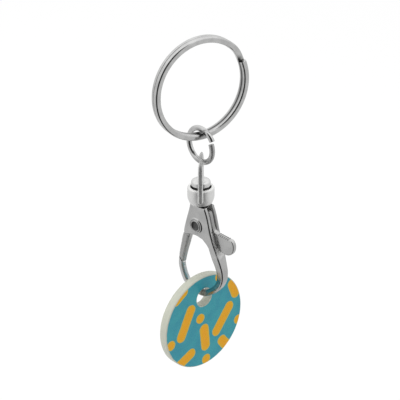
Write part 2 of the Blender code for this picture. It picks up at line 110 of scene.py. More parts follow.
def softCorners(corners, radii, steps=5):
    # each corner of a closed outline becomes the parabola (1-t)^2 p + 2t(1-t) corner + t^2 q
    # between the points p and q that lie its radius away along both sides
    corners = np.asarray(corners, float)
    radii = np.broadcast_to(np.asarray(radii, float), len(corners))[:, None]
    p = corners + unit(np.roll(corners, 1, axis=0) - corners) * radii
    q = corners + unit(np.roll(corners, -1, axis=0) - corners) * radii
    t = np.linspace(0, 1, steps)[None, :, None]
    curve = (1 - t) ** 2 * p[:, None] + 2 * t * (1 - t) * corners[:, None] + t**2 * q[:, None]
    return curve.reshape(-1, corners.shape[1])


def gridFaces(rows, columns, wrapRows):
    # quad between rows i, i+1 and columns j, j+1, the columns closing on themselves
    i, j = np.meshgrid(np.arange(rows if wrapRows else rows - 1), np.arange(columns), indexing="ij")
    k = (i + 1) % rows
    m = (j + 1) % columns
    quads = np.stack([i * columns + j, i * columns + m, k * columns + m, k * columns + j], axis=-1)
    return quads.reshape(-1, 4).tolist()


def bodyOf(points, wrapRows=False, caps=None):
    # closed body on a grid of points: rows are closed loops, and the first and last are capped
    rows, columns = points.shape[:2]
    faces = gridFaces(rows, columns, wrapRows)
    if not wrapRows:
        last = (rows - 1) * columns
        for cap in caps or [list(range(columns))]:
            faces += [list(cap)[::-1], [last + k for k in cap]]
    return points.reshape(-1, 3), faces


def carried(path, first, second, a, b):
    # profile (a, b) carried along a path: point = path + a * first + b * second
    return path[:, None] + a[..., None] * first[:, None] + b[..., None] * second[:, None]


def lathed(profile, sides, wrapRows=False):
    # profile (radius, height) turned about Z: point = radius * (cos, sin, 0) + height * Z
    profile = np.asarray(profile, float)
    turn = fullTurn(sides)
    spokes = np.stack([np.cos(turn), np.sin(turn), turn * 0], axis=1)
    points = profile[:, None, :1] * spokes[None] + profile[:, None, 1:] * up
    return bodyOf(points, wrapRows)


def ringDirections(yaw, angle):
    # axis of an upright ring that faces this yaw, and its outward direction at each angle
    level = heading(yaw + math.pi / 2)
    return heading(yaw), np.cos(angle)[:, None] * level + np.sin(angle)[:, None] * up


def roundedEnd(fromEnd, reach, loss):
    # size of a section near its wire's cut end: 1 - loss * (1 - distance / reach)^2
    return (1 - loss * np.clip(1 - fromEnd / reach, 0, 1) ** 2)[:, None]


def signedPower(values, power):
    return np.sign(values) * np.abs(values) ** power


def laidOver(points, height, yaw):
    # what was turned about Z now turns about the level line at this yaw
    across = heading(yaw + math.pi / 2)
    return points[:, :1] * across + points[:, 1:2] * up + points[:, 2:] * heading(yaw) + height * up


def onPivot(half, sides=96):
    # half a profile and its mirror image, turned about the pivot
    half = np.asarray(half, float)
    points, faces = lathed(np.vstack([half, half[::-1] * (1, -1)]), sides)
    return laidOver(points, pivotHeight, front), faces


def slabBetween(outline, low, high):
    # flat outline (x, z) pulled straight from y = low to y = high
    x, z = np.asarray(outline, float).T
    return bodyOf(np.stack([np.stack([x, x * 0 + y, z], axis=1) for y in (low, high)]))


# meshes


def faceOutwards(mesh, weld=0.0):
    work = bmesh.new()
    work.from_mesh(mesh)
    if weld:
        bmesh.ops.remove_doubles(work, verts=work.verts, dist=weld)
    bmesh.ops.recalc_face_normals(work, faces=work.faces)
    work.to_mesh(mesh)
    work.free()


def rawMesh(name, body, scale=metre):
    points, faces = body
    mesh = bpy.data.meshes.new(name)
    mesh.from_pydata((points * scale).tolist(), [], faces)
    return mesh


def meshFrom(name, body, scale=1.0):
    mesh = rawMesh(name, body, scale)
    faceOutwards(mesh, weld=1e-4 * scale)
    return mesh


def newObject(name, data):
    made = bpy.data.objects.new(name, data)
    bpy.context.scene.collection.objects.link(made)
    return made


def cast(name, whole, added=(), cut=(), cell=0.08, relax=6, keep=1.0):
    # one casting: bodies are joined and cut, then a fine even mesh takes the sharp
    # edges off, as a plated casting has them. The work is done at millimetre scale.
    made = newObject(name, meshFrom(name, whole))
    helpers = []
    for operation, bodies in (("UNION", added), ("DIFFERENCE", cut)):
        for body in bodies:
            helper = newObject("helper", meshFrom("helper", body))
            helpers.append(helper)
            step = made.modifiers.new("join", "BOOLEAN")
            step.object = helper
            step.operation = operation
            step.solver = "EXACT"
    even = made.modifiers.new("even", "REMESH")
    even.mode = "VOXEL"
    even.voxel_size = cell
    soften = made.modifiers.new("soften", "SMOOTH")
    soften.factor = 0.5
    soften.iterations = relax
    if keep < 1:
        thin = made.modifiers.new("thin", "DECIMATE")
        thin.ratio = keep
    seen = made.evaluated_get(bpy.context.evaluated_depsgraph_get())
    mesh = bpy.data.meshes.new_from_object(seen)
    mesh.name = name
    for old in [made, *helpers]:
        bpy.data.objects.remove(old)
    mesh.transform(Matrix.Scale(metre, 4))
    return mesh


def meshPoints(mesh):
    flat = np.empty(len(mesh.vertices) * 3, np.float32)
    mesh.vertices.foreach_get("co", flat)
    return flat.reshape(-1, 3) / metre


def writeAttribute(mesh, name, values):
    values = np.asarray(values, np.float32)
    kind = "FLOAT_VECTOR" if values.ndim == 2 else "FLOAT"
    made = mesh.attributes.new(name, kind, "POINT")
    made.data.foreach_set("vector" if values.ndim == 2 else "value", values.ravel())


def placePiece(name, mesh, body, node, finish, sharp=None):
    # the finished piece: object at the origin, riding on its body in place of the CAD node
    piece = newObject(name, mesh)
    mesh.shade_smooth()
    if sharp:
        mesh.set_sharp_from_angle(angle=math.radians(sharp))
    mesh.materials.clear()
    mesh.materials.append(finish)
    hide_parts(node)
    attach(piece, body)
    print(name, len(mesh.polygons), "faces")
    return piece


# painted shade on the wires where links touch: how far it reaches from the spots where links rub, and how
# dark it is
contactShade = {"reach": 2.0, "full": 0.7, "ringRub": 0.5, "atRing": 0.6, "atEye": 0.3}


def wirePiece(name, grid, profile, along, body, node, finish, matte=0.0, shade=0.0):
    # a swept wire keeps where each point lies on it: profile place and length along it.
    # It carries painted shade where the links touch each other and where shade says so, and may be
    # duller along a stretch
    points, faces = bodyOf(grid)
    mesh = rawMesh(name, (points, faces))
    a, b = np.broadcast_arrays(*profile, along[:, None])[:2]
    length = np.broadcast_to(along[:, None], a.shape)
    writeAttribute(mesh, "wirePlace", np.stack([a, b, length], axis=-1).reshape(-1, 3))
    shadeAtLinks = 0
    spots = ((ringFoot + contactShade["ringRub"], contactShade["atRing"]), (jumpFoot, contactShade["atEye"]))
    for height, dark in spots:
        away = np.linalg.norm(points - height * up, axis=1)
        shadeAtLinks = shadeAtLinks + dark * smoothStep(contactShade["reach"], contactShade["full"], away)
    writeAttribute(mesh, "paintedShade", np.maximum(shadeAtLinks, np.broadcast_to(shade, a.shape).ravel()))
    writeAttribute(mesh, "matte", np.broadcast_to(matte, len(along)).repeat(a.shape[1]))
    faceOutwards(mesh)
    return placePiece(name, mesh, body, node, finish, sharp=50)


# materials


def addNode(tree, kind, inputs=None, **settings):
    made = tree.nodes.new("ShaderNode" + kind)
    for key, value in settings.items():
        setattr(made, key, value)
    for key, value in (inputs or {}).items():
        if isinstance(value, bpy.types.NodeSocket):
            tree.links.new(value, made.inputs[key])
        else:
            made.inputs[key].default_value = value
    return made


def newMaterial(name, **fixed):
    made = bpy.data.materials.new(name)
    made.use_nodes = True
    shader = made.node_tree.nodes["Principled BSDF"]
    for key, value in fixed.items():
        shader.inputs[key].default_value = value
    return made, made.node_tree, shader


def remap(tree, value, low, high, toLow, toHigh, smooth=True):
    kind = "SMOOTHSTEP" if smooth else "LINEAR"
    ends = {0: value, 1: low, 2: high, 3: toLow, 4: toHigh}
    return addNode(tree, "MapRange", ends, interpolation_type=kind).outputs[0]


def noise(tree, place, scale, detail, rough=0.5):
    inputs = {"Vector": place, "Scale": scale, "Detail": detail, "Roughness": rough}
    return addNode(tree, "TexNoise", inputs).outputs[0]


def painted(tree, name):
    # number that the mesh carries at each of its points
    return addNode(tree, "Attribute", attribute_name=name).outputs["Fac"]


def combine(tree, operation, *values):
    return addNode(tree, "Math", dict(enumerate(values)), operation=operation).outputs[0]


def vectors(tree, operation, *values):
    # vector result of a vector operation, or its number where it gives one
    made = addNode(tree, "VectorMath", dict(enumerate(values)), operation=operation)
    return made.outputs[1 if operation in ("DOT_PRODUCT", "DISTANCE", "LENGTH") else 0]


def mixColours(tree, share, first, second):
    made = addNode(tree, "Mix", {0: share}, data_type="RGBA")
    for index, value in ((6, first), (7, second)):
        if isinstance(value, bpy.types.NodeSocket):
            tree.links.new(value, made.inputs[index])
        else:
            made.inputs[index].default_value = (*value, 1)
    return made.outputs[2]


def finishShader(tree, shader, colour, gloss, height, strength, relief):
    # colour, roughness and a bump whose relief is in millimetres
    bump = {"Strength": strength, "Distance": relief * metre, "Height": height}
    bump = addNode(tree, "Bump", bump).outputs[0]
    for name, value in (("Base Color", colour), ("Roughness", gloss), ("Normal", bump)):
        tree.links.new(value, shader.inputs[name])


# the pale cast colour is for painted light, the near-black colour for painted shade
nickelLook = {
    "castColour": (0.53, 0.53, 0.525), "castShade": (0.47, 0.47, 0.467), "castLight": (0.86, 0.86, 0.852),
    "wireColour": (0.6, 0.6, 0.595), "wireShade": (0.53, 0.53, 0.527), "shadeColour": (0.035, 0.035, 0.037),
    "cloudScale": 0.45, "peelScale": 2.6, "fineScale": 14.0, "lumpScale": 0.95, "cloudEnds": (0.35, 0.65),
    "castGloss": (0.16, 0.27), "shadeGloss": 0.3, "fineHeight": 0.12, "lumpHeight": 9.0,
    "castRelief": 0.012, "drawnScale": (9.0, 9.0, 0.35), "wireCloudScale": 0.6,
    "wireGloss": (0.11, 0.22), "wireRelief": 0.006,
}


def castNickel():
    # plated zinc: soft orange peel, cloudy gloss, painted shade in recesses and between parts,
    # painted light that pales it where the mesh says so, and lumpy where that painted light is
    look = nickelLook
    made, tree, shader = newMaterial("plated casting", Metallic=1.0)
    place = addNode(tree, "TexCoord").outputs["Object"]
    place = addNode(tree, "Mapping", {"Vector": place, "Scale": (1 / metre,) * 3}).outputs[0]
    cloud = noise(tree, place, look["cloudScale"], 3.0)
    peel = noise(tree, place, look["peelScale"], 3.0, 0.6)
    fine = noise(tree, place, look["fineScale"], 2.0)
    lumps = noise(tree, place, look["lumpScale"], 2.0, 0.55)
    paintedShade = painted(tree, "paintedShade")
    light = painted(tree, "light")
    clouded = remap(tree, cloud, *look["cloudEnds"], 0, 1)
    plain = mixColours(tree, clouded, look["castShade"], look["castColour"])
    # painted light pales the colour, then painted shade darkens it
    plain = mixColours(tree, light, plain, look["castLight"])
    colour = mixColours(tree, paintedShade, plain, look["shadeColour"])
    gloss = remap(tree, combine(tree, "ADD", cloud, fine), 0.7, 1.3, *look["castGloss"])
    gloss = combine(tree, "MULTIPLY_ADD", paintedShade, look["shadeGloss"], gloss)
    gloss = combine(tree, "ADD", gloss, painted(tree, "matte"))
    height = combine(tree, "MULTIPLY_ADD", fine, look["fineHeight"], peel)
    lumps = combine(tree, "MULTIPLY", lumps, light)
    height = combine(tree, "MULTIPLY_ADD", lumps, look["lumpHeight"], height)
    finishShader(tree, shader, colour, gloss, height, 0.35, look["castRelief"])
    return made


def wireNickel():
    # plated wire: faint drawing lines along it, with painted shade and a duller finish where the mesh says
    # so
    look = nickelLook
    made, tree, shader = newMaterial("plated wire", Metallic=1.0)
    place = addNode(tree, "Attribute", attribute_name="wirePlace").outputs["Vector"]
    drawn = addNode(tree, "Mapping", {"Vector": place, "Scale": look["drawnScale"]}).outputs[0]
    lines = noise(tree, drawn, 1.0, 4.0, 0.65)
    cloud = noise(tree, place, look["wireCloudScale"], 2.0)
    clouded = remap(tree, cloud, *look["cloudEnds"], 0, 1)
    colour = mixColours(tree, clouded, look["wireShade"], look["wireColour"])
    colour = mixColours(tree, painted(tree, "paintedShade"), colour, look["shadeColour"])
    gloss = combine(tree, "ADD", remap(tree, lines, 0.3, 0.7, *look["wireGloss"]), painted(tree, "matte"))
    finishShader(tree, shader, colour, gloss, lines, 0.3, look["wireRelief"])
    return made


coinLook = {
    "teal": (0.045, 0.36, 0.42),
    "tealDeep": (0.035, 0.31, 0.4),
    "yellow": (0.86, 0.4, 0.004),
    "yellowEdge": (0.76, 0.46, 0.015),
    "ivory": (0.56, 0.575, 0.485),
    "ivoryShade": (0.53, 0.545, 0.465),
    "edgeSoftness": 0.09,
    "rimMargin": 0.2,
    "holeMargin": 0.15,
    "inkTop": 0.01,
    "inkFoot": 0.06,
    "wobble": 0.22,
    "merge": 0.25,
    "dotLength": 0.02,
    "relief": 0.01,
}

# print on the coin: straight rounded bars (x, y, slant in degrees, length, width) and dots
coinBars = (
    (-5.6, 1.4, 64, 9.4, 2.7),
    (0.2, -4.4, 96, 7.2, 2.7),
    (5.8, -1.6, 52, 9.0, 2.7),
    (-5.9, -8.0, 24, 6.6, 2.6),
    (6.4, -8.4, 128, 5.4, 2.6),
    (9.2, 5.2, 112, 5.6, 2.6),
    (-7.4, 9.2, 34, 5.2, 2.6),
)
coinDots = ((-1.2, 1.1, 2.5), (-10.2, -2.6, 2.5), (0.6, -10.4, 2.5), (10.6, -3.6, 2.4), (4.6, 10.0, 2.4))


def motifGap(tree, flat, x, y, slant, length, width):
    # distance to a rounded bar from a to b: |p - a - h (b - a)| - width / 2, h the clamped
    # share along it. A dot is a bar of hardly any length
    run = heading(math.radians(slant))
    reach = max(length - width, coinLook["dotLength"]) / 2
    away = vectors(tree, "SUBTRACT", flat, (np.array([x, y, 0]) - run * reach).tolist())
    share = vectors(tree, "DOT_PRODUCT", away, (run / reach / 2).tolist())
    share = addNode(tree, "Clamp", {0: share, 1: 0.0, 2: 1.0}).outputs[0]
    whole = (run * reach * 2).tolist()
    foot = addNode(tree, "VectorMath", {0: whole, "Scale": share}, operation="SCALE").outputs[0]
    return combine(tree, "SUBTRACT", vectors(tree, "DISTANCE", away, foot), width / 2)


def coinFinish(coin):
    # ivory plastic, with ink on the flat faces inside a margin, and bars and dots in the ink
    look = coinLook
    made, tree, shader = newMaterial("printed plastic", **{"Metallic": 0.0, "Specular IOR Level": 0.3})
    place = addNode(tree, "Attribute", attribute_name="coinPlace").outputs["Vector"]
    wobble = addNode(tree, "TexNoise", {"Vector": place, "Scale": 0.9, "Detail": 2.0}).outputs[1]
    wobble = vectors(tree, "SUBTRACT", wobble, (0.5, 0.5, 0.5))
    moved = vectors(tree, "MULTIPLY_ADD", wobble, (look["wobble"], look["wobble"], 0), place)
    flat = vectors(tree, "MULTIPLY", moved, (1, 1, 0))
    dots = [(x, y, 0, width, width) for x, y, width in coinDots]
    nearest = None
    for motif in [*coinBars, *dots]:
        gap = motifGap(tree, flat, *motif)
        if nearest is not None:
            gap = combine(tree, "SMOOTH_MIN", nearest, gap, look["merge"])
        nearest = gap
    soft = look["edgeSoftness"]
    isMotif = remap(tree, nearest, -soft, soft, 1, 0)
    mottle = noise(tree, place, 0.35, 4.0, 0.6)
    teal = mixColours(tree, remap(tree, mottle, 0.35, 0.65, 0, 1), look["tealDeep"], look["teal"])
    yellow = mixColours(tree, remap(tree, nearest, -0.75, -0.1, 0, 1), look["yellow"], look["yellowEdge"])
    ink = mixColours(tree, isMotif, teal, yellow)
    # where the ink is: on the faces, short of the rim and of the hole
    depth = combine(tree, "ABSOLUTE", addNode(tree, "SeparateXYZ", {0: place}).outputs[2])
    half = coin["thickness"] / 2
    onFace = remap(tree, depth, half - look["inkFoot"], half - look["inkTop"], 0, 1)
    edge = coin["diameter"] / 2 - look["rimMargin"]
    inside = remap(tree, vectors(tree, "LENGTH", flat), edge - soft, edge + soft, 1, 0)
    hole = vectors(tree, "DISTANCE", flat, (0, coin["holeOffset"], 0))
    clear = coin["hole"] / 2 + look["holeMargin"]
    outside = remap(tree, hole, clear - soft, clear + soft, 0, 1)
    inked = combine(tree, "MULTIPLY", combine(tree, "MULTIPLY", onFace, inside), outside)
    body = mixColours(tree, remap(tree, mottle, 0.3, 0.7, 0, 1), look["ivoryShade"], look["ivory"])
    colour = mixColours(tree, inked, body, ink)
    grain = noise(tree, place, 5.0, 3.0)
    gloss = combine(tree, "MULTIPLY_ADD", inked, -0.06, remap(tree, grain, 0.3, 0.7, 0.3, 0.42))
    height = combine(tree, "MULTIPLY_ADD", grain, 0.25, inked)
    height = combine(tree, "MULTIPLY_ADD", isMotif, 0.5, height)
    finishShader(tree, shader, colour, gloss, height, 0.5, look["relief"])
    return made


# split ring

splitRing = {
    "bore": 21.2, "wireWidth": 1.4, "wireThickness": 1.02, "turnGap": 0.11, "yaw": math.radians(-16),
    "stepStart": math.radians(47), "stepSpan": math.radians(25), "closed": 0.3,
    "endRound": 0.12, "endLoss": 0.3, "steps": 420, "roundAcross": (0.1, 0.46), "roundAlong": (0.08, 0.42),
    "seamDepth": (0.22, 0.06), "seamInside": (0.3, 0.6), "seamShade": 0.8,
}


def splitRingWire(finish):
    # two turns of a flat wire: the place along the axis steps over by one pitch, on a
    # smooth step, in the last stretch of the first turn. The gap between the turns is the
    # share c + (1 - c) (1 + cos(angle - step)) / 2 of its widest, and so closes far from the step.
    # The section's quarter corners are ellipses, (w/2 - A + A cos q, t/2 - B + B sin q), with
    # small A and B on the side that faces the other turn and large ones on the open side
    bore = splitRing["bore"]
    radius = (bore + splitRing["wireWidth"]) / 2
    firstTurn = 2 * math.pi - splitRing["stepSpan"]
    total = 2 * firstTurn + splitRing["stepSpan"]
    nearEnd = np.array([0, 0.2, 0.45, 0.75, 1.0]) * splitRing["endRound"] / radius
    along = np.linspace(0, total, splitRing["steps"])[1:-1]
    turn = np.concatenate([nearEnd, along, total - nearEnd[::-1]])
    angle = splitRing["stepStart"] - splitRing["stepSpan"] - turn
    closed = splitRing["closed"]
    gapShare = closed + (1 - closed) * (1 + np.cos(angle - splitRing["stepStart"])) / 2
    pitch = splitRing["wireThickness"] + splitRing["turnGap"] * gapShare
    offset = pitch * (0.5 - smoothStep(firstTurn, 2 * math.pi, turn))
    normal, radial = ringDirections(splitRing["yaw"], angle)
    path = radius * radial + offset[:, None] * normal - bore / 2 * up
    wideHalf = splitRing["wireWidth"] / 2
    thickHalf = splitRing["wireThickness"] / 2
    quarter = np.linspace(0, math.pi / 2, 9)
    second = smoothStep(firstTurn, 2 * math.pi, turn)[:, None]
    quarters = []
    for share in (1 - second, second):
        sizes = (splitRing["roundAcross"], splitRing["roundAlong"])
        wide, deep = (low + (high - low) * share for low, high in sizes)
        quarters.append((wideHalf - wide * (1 - np.cos(quarter)), thickHalf - deep * (1 - np.sin(quarter))))
    (a, b), (c, d) = quarters
    a = np.concatenate([a, -a[:, ::-1], -c, c[:, ::-1]], axis=1)
    b = np.concatenate([b, b[:, ::-1], -d, -d[:, ::-1]], axis=1)
    # painted shade on the bore side of the seam between the turns
    low, high = (thickHalf - depth for depth in splitRing["seamDepth"])
    seam = smoothStep(low, high, b * (2 * second - 1))
    low, high = (wideHalf * share for share in splitRing["seamInside"])
    seam = seam * smoothStep(low, high, -a) * splitRing["seamShade"]
    fromEnd = np.minimum(turn, total - turn) * radius
    shrink = roundedEnd(fromEnd, splitRing["endRound"], splitRing["endLoss"])
    grid = carried(path, radial, np.broadcast_to(normal, radial.shape), a * shrink, b * shrink)
    return wirePiece("splitRingWire", grid, (a, b), turn * radius, "split_ring", "split_ring",
                     finish, shade=seam)


# jump ring

jumpRing = {
    "outer": 9.15, "wire": 1.25, "opening": 0.4, "yaw": math.radians(-97),
    "openingAngle": math.radians(25.5), "endShift": 0.22, "bentSpan": math.radians(75),
    "endRound": 0.08, "endLoss": 0.14, "sides": 40, "steps": 240,
    "dullFrom": math.radians(235), "dullTo": math.radians(290), "dullness": 0.32,
}


def jumpRingWire(finish):
    # circle of round wire, less its opening. Near the two ends it bends sideways by a smooth step
    radius = (jumpRing["outer"] - jumpRing["wire"]) / 2
    skip = jumpRing["opening"] / 2 / radius
    nearEnd = np.array([0, 0.3, 0.6, 1.0]) * jumpRing["endRound"] / radius
    last = 2 * math.pi - skip
    along = np.linspace(skip, last, jumpRing["steps"])[1:-1]
    turn = np.concatenate([skip + nearEnd, along, last - nearEnd[::-1]])
    normal, radial = ringDirections(jumpRing["yaw"], jumpRing["openingAngle"] + turn)
    span = jumpRing["bentSpan"]
    bent = smoothStep(2 * math.pi - span, 2 * math.pi, turn) - smoothStep(span, 0, turn)
    path = radius * radial + (jumpFoot + radius) * up + (bent * jumpRing["endShift"])[:, None] * normal
    around = fullTurn(jumpRing["sides"])
    a = np.cos(around) * jumpRing["wire"] / 2
    b = np.sin(around) * jumpRing["wire"] / 2
    fromEnd = np.minimum(turn - skip, last - turn) * radius
    shrink = roundedEnd(fromEnd, jumpRing["endRound"], jumpRing["endLoss"])
    grid = carried(path, radial, np.broadcast_to(normal, radial.shape), a * shrink, b * shrink)
    dull = smoothStep(jumpRing["dullFrom"], jumpRing["dullTo"], turn) * jumpRing["dullness"]
    return wirePiece("jumpRingWire", grid, (a[None], b[None]), turn * radius, "jump_ring", "jump_ring",
                     finish, dull)


# post of the hook, and the swivel eye round it

post = {
    "neck": 2.4, "barrel": 3.6, "head": 4.4, "headHeight": 4.4, "headEdge": 0.6, "dome": 0.9, "root": 0.5,
}
swivelEye = {
    "height": 12.05, "bailThickness": 1.0, "bailWidth": 1.12, "bailYaw": math.radians(-50),
    "squareness": 0.6, "endReach": 0.6, "ribFoot": 0.22, "crownWidth": 0.48, "crownRange": (0.4, 0.95),
    "collarHeight": 4.0, "collarWall": 0.7, "collarFloor": 1.2, "footInset": 0.5, "bulge": (0.27, 0.4),
    "boreShade": 0.7, "dullness": 0.34, "crownShade": 0.8,
}
collarFoot = hookTop + play["hang"]
eyeTop = collarFoot + swivelEye["height"]
collarTop = collarFoot + swivelEye["collarHeight"]
collarBore = post["head"] / 2 + play["seat"]
collarRadius = collarBore + swivelEye["collarWall"]
bailRadius = post["head"] / 2 + play["hang"] + swivelEye["bailThickness"] / 2
archHeight = eyeTop - swivelEye["bailThickness"] / 2 - bailRadius


def eyeCollar():
    # barrel turned from a soft-cornered profile, its foot drawn in
    eye = swivelEye
    shoulder = eye["collarWall"] * 0.8
    floor = collarFoot + eye["collarFloor"]
    hole = post["neck"] / 2 + play["hang"]
    foot = collarRadius - eye["footInset"]
    low, high = (collarFoot + eye["collarHeight"] * share for share in eye["bulge"])
    corners = [
        (foot, collarFoot), (collarRadius - eye["footInset"] / 5, low), (collarRadius, high),
        (collarRadius, collarTop), (collarBore, collarTop), (collarBore, floor), (hole, floor),
        (hole, collarFoot),
    ]
    rounds = [0.2, 0.25, 0.25, shoulder, 0.08, 0.1, 0.1, 0.1]
    return lathed(softCorners(corners, rounds, 8), 128, wrapRows=True)


def eyeBail():
    # flat bar carried over an arch whose straight legs run down the barrel as ribs. Its
    # section is |a/t|^p + |b/w|^p = 1 with p = 2 / squareness. It narrows by a smooth step
    # at the crown, more on its left edge, so its middle moves over by a fifth of the loss
    eye = swivelEye
    ribFoot = collarFoot + eye["collarHeight"] * eye["ribFoot"]
    turn = np.linspace(0, math.pi, 49)[:, None]
    side = heading(eye["bailYaw"])
    arch = bailRadius * (np.cos(turn) * side + np.sin(turn) * up) + archHeight * up
    drop = np.linspace(archHeight - ribFoot, 0, 31)[:-1, None]
    leg = arch[0] - drop * up
    path = np.vstack([leg, arch, (leg * (-1, -1, 1))[::-1]])
    run = unit(np.gradient(path, axis=0))
    level = np.broadcast_to(heading(eye["bailYaw"] + math.pi / 2), run.shape)
    fromEnd = np.minimum(np.arange(len(path)), np.arange(len(path))[::-1]) * (drop[0, 0] - drop[1, 0])
    short = (1 - fromEnd / eye["bailWidth"] / eye["endReach"]).clip(0, 0.98)
    full = np.sqrt(np.clip(1 - short**2, 0, 1))
    low, high = (archHeight + bailRadius * share for share in eye["crownRange"])
    crown = smoothStep(low, high, path[:, 2])
    narrower = (eye["bailWidth"] - eye["crownWidth"]) * crown
    path = path + narrower[:, None] / 5 * level
    width = full * (eye["bailWidth"] - narrower) / 2
    thick = full * eye["bailThickness"] / 2
    around = fullTurn(40)
    a = signedPower(np.cos(around), eye["squareness"]) * thick[:, None]
    b = signedPower(np.sin(around), eye["squareness"]) * width[:, None]
    return bodyOf(carried(path, unit(np.cross(run, level)), level, a, b))


def swivelEyeCasting(finish):
    # collar and bail joined, with painted shade inside the bore and painted light that makes the legs paler
    # than the crown
    eye = swivelEye
    mesh = cast("swivelEyeCasting", eyeCollar(), added=[eyeBail()], cell=0.06, relax=5)
    x, y, z = meshPoints(mesh).T
    # painted shade inside the bore, below the collar's top
    inward = smoothStep(collarBore + 0.12, collarBore + 0.02, np.hypot(x, y))
    inward = inward * smoothStep(collarTop + 0.02, collarTop - 0.35, z)
    writeAttribute(mesh, "paintedShade", inward * eye["boreShade"])
    writeAttribute(mesh, "matte", np.full(len(x), eye["dullness"]))
    onCrown = smoothStep(archHeight + bailRadius * 0.5, archHeight + bailRadius, z)
    writeAttribute(mesh, "light", 1 - eye["crownShade"] * onCrown)
    return placePiece("swivelEyeCasting", mesh, "swivel_eye", "swivel_eye", finish)


# trigger hook

hook = {
    "drop": 22.7, "width": 13.0, "cheek": 0.88, "bar": 1.55, "barRoundness": 0.85, "edge": 0.45,
    "bossWall": 0.47, "bossHeight": 0.24, "bossRound": 0.2,
}
lever = {
    "thickness": 1.1, "edge": 0.25, "hub": 4.2, "arm": 1.9, "armRoundness": 0.6,
    "flareStart": 4.9, "flareLength": 0.9, "teeth": 6, "toothDepth": 0.26,
}
rivet = {"shank": 1.6, "head": 2.6, "headHeight": 0.36, "sink": 0.2, "dimple": 2.2, "dimpleDepth": 0.42}

# how much painted shade, how much painted light and how dull the zones of the hook, the lever and the rivet
# are
hookPaintedShade = {"farRim": 0.25, "seat": 0.3, "neck": 0.45, "barrel": 0.6}
hookPaintedLight = {"head": 0.6, "nose": 0.35}
hookDull = {"nose": 0.2, "post": 0.16, "slot": 0.55}
leverPaintedShade = {"pivot": 0.7, "teeth": 0.9, "lobe": 0.35}
leverPaintedLight = {"arm": 0.5, "side": 0.9}
leverDull = {"arm": 0.6, "side": 0.5}
rivetTone = {"dark": 0.72, "dullness": 0.12, "dishDull": 0.1}

slotHalf = lever["thickness"] / 2 + play["hang"]
bodyHalf = slotHalf + hook["cheek"]
pivotHole = rivet["shank"] / 2 + play["seat"]

# outlines as shares of the hook's width (x) and drop (down from its top)
spineShares = ((0.195, 0.0), (0.254, 0.085), (0.29, 0.16), (0.33, 0.254))
archShares = ((0.139, 0.353), (0.0, 0.338), (-0.131, 0.346), (-0.23, 0.358))
cornerShares = ((-0.262, 0.359), (-0.286, 0.349), (-0.295, 0.331))
leftShares = ((-0.281, 0.288), (-0.239, 0.197), (-0.181, 0.085), (-0.142, 0.0))
slotShares = (
    (0.923, -0.045), (0.13, -0.045), (0.1, 0.006), (0.07, 0.02), (0.035, 0.034), (0.0, 0.049),
    (-0.035, 0.085), (-0.088, 0.123), (-0.138, 0.151), (-0.177, 0.183), (-0.692, 0.183), (-0.692, 0.532),
    (0.096, 0.532), (0.088, 0.335), (0.104, 0.322), (0.158, 0.335), (0.315, 0.388), (0.4, 0.427),
    (0.454, 0.453), (0.923, 0.469),
)
lobeShares = (
    (0.092, 0.106), (0.142, 0.073), (0.177, 0.055), (0.208, 0.049), (0.231, 0.062), (0.254, 0.097),
    (0.277, 0.15), (0.298, 0.194), (0.331, 0.233), (0.405, 0.247),
)
tabShares = (
    (0.692, 0.263), (0.738, 0.272), (0.773, 0.299), (0.786, 0.339), (0.773, 0.384), (0.727, 0.422),
    (0.654, 0.444), (0.577, 0.446), (0.485, 0.433), (0.331, 0.375), (0.185, 0.322),
)
heelShares = ((-0.092, 0.333),)
# centre lines, with how much wider than the bar, and how far thickened to the cheeks
bandShares = (
    (0.308, 0.366, 0.48, 1), (0.343, 0.399, 0.33, 0.98), (0.375, 0.453, 0.38, 0.84),
    (0.413, 0.523, 0.4, 0.66), (0.461, 0.596, 0.34, 0.47), (0.5, 0.676, 0.26, 0.35),
    (0.491, 0.762, 0.18, 0.25), (0.415, 0.851, 0.08, 0.1),
    (0.265, 0.937, 0, 0), (0.112, 0.989, 0, 0), (-0.023, 1.0, 0, 0), (-0.177, 0.988, 0, 0),
    (-0.312, 0.933, 0, 0), (-0.385, 0.865, 0, 0), (-0.431, 0.786, 0, 0), (-0.437, 0.736, 0, 0),
    (-0.432, 0.703, 0, 0),
)
armShares = (
    (-0.228, 0.328, 0.24), (-0.268, 0.363, 0.2), (-0.293, 0.391, 0.04), (-0.308, 0.419, 0),
    (-0.324, 0.448, 0.02), (-0.348, 0.504, 0.06), (-0.38, 0.571, 0.12), (-0.408, 0.637, 0.16),
    (-0.426, 0.685, 0.18),
)


def fromShares(shares):
    points = np.array(shares, float)
    points[:, 0] *= hook["width"]
    points[:, 1] = hookTop - points[:, 1] * hook["drop"]
    return points


